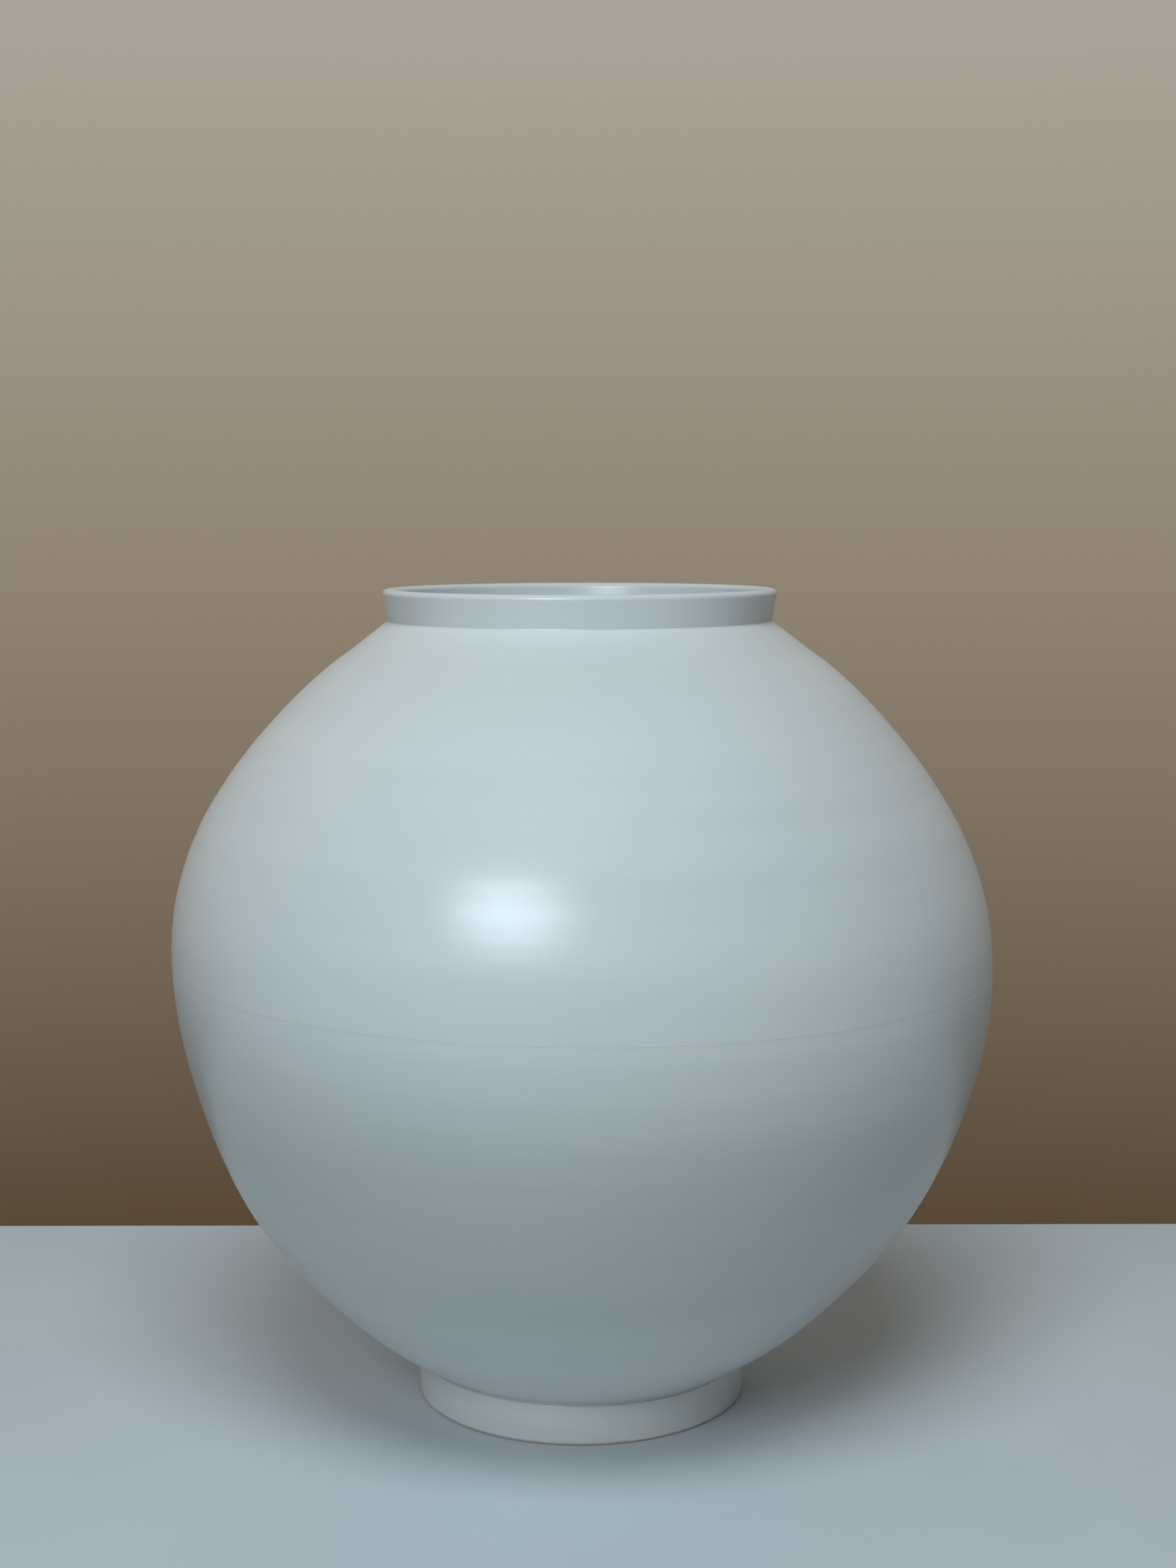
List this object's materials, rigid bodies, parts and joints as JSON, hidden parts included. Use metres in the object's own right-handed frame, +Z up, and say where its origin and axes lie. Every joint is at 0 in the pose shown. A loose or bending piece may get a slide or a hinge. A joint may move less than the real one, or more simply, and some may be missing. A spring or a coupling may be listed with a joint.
{
  "type": "korean moon jar",
  "caption": "White porcelain moon jar: thrown bowls luted rim to rim at the belly, on a low foot ring, with a short mouth collar that leans outward.",
  "frame": {"origin": "middle of the plane that the foot ring stands on", "axes": "+Z up along the jar's axis; the jar is the same all round, so +X and +Y are free"},
  "size_m": [0.3, 0.3, 0.3002],
  "materials": {
    "body_glaze": "cool white satin-matt glaze over porcelain, inside and out",
    "foot_glaze": "the same glaze, wiped off under the standing edge, where the fired porcelain is bare",
    "joint_slip": "porcelain slip under the glaze",
    "coil_glaze": "finger-smoothed porcelain coil under the glaze"
  },
  "bodies": {
    "root": {"foot_ring": "foot_glaze", "foot_slip_joint": "joint_slip", "lower_bowl": "body_glaze", "belly_slip_joint": "joint_slip", "inner_seam_coil": "coil_glaze", "upper_bowl": "body_glaze", "neck_slip_joint": "joint_slip", "neck_collar": "body_glaze"}
  },
  "joints": []
}
